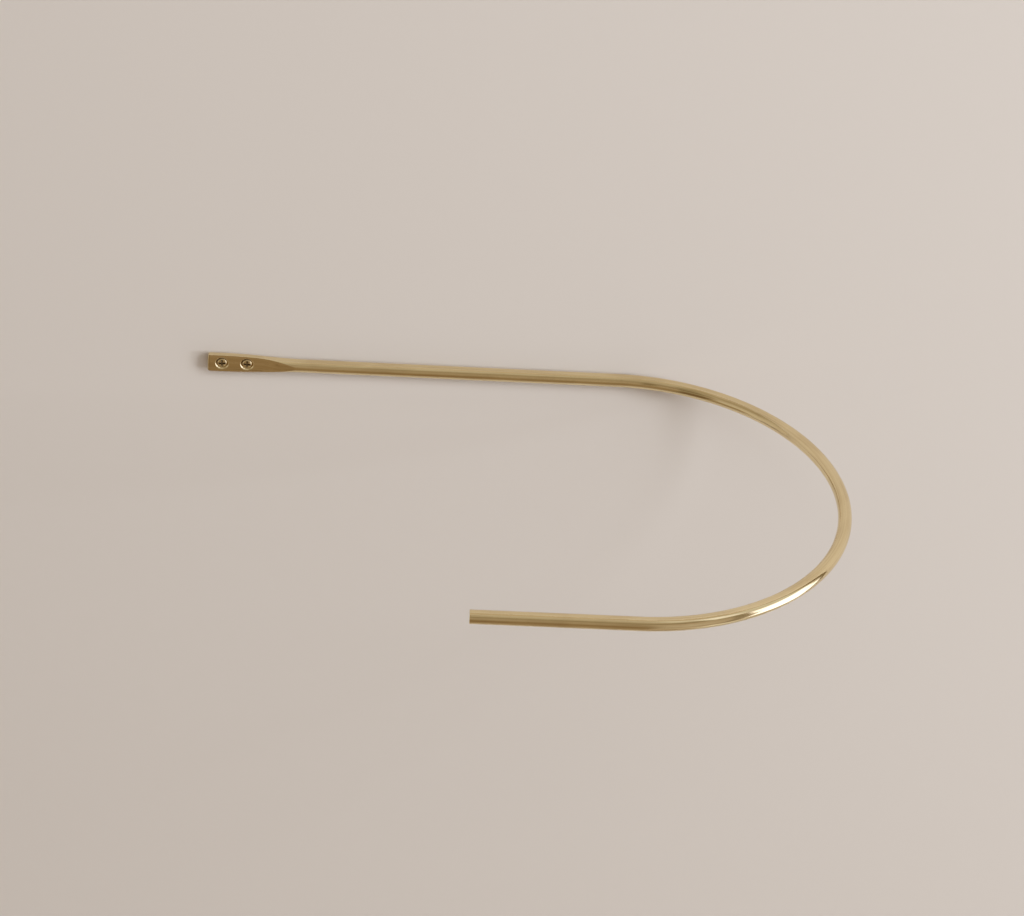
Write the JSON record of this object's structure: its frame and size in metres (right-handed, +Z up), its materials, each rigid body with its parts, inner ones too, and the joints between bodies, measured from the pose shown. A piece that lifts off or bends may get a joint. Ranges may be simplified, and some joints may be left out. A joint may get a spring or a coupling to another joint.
{
  "type": "curtain holdback",
  "caption": "Wall-mounted curtain holdback: a round brass rod bent into an open U, with its wall end forged into a flat tongue held by countersunk screws.",
  "frame": {"origin": "on the wall plane, midway between the two screws", "axes": "+X along the wall from the flat tongue towards the bend, +Y into the wall, +Z up"},
  "size_m": [0.376, 0.2784, 0.0114],
  "materials": {
    "rod_brass": "satin, drawn lengthwise and lightly polished on the bend",
    "screw_brass": "bright turned"
  },
  "bodies": {
    "root": {"holdback_rod": "rod_brass", "wall_screws": "screw_brass"}
  },
  "joints": []
}
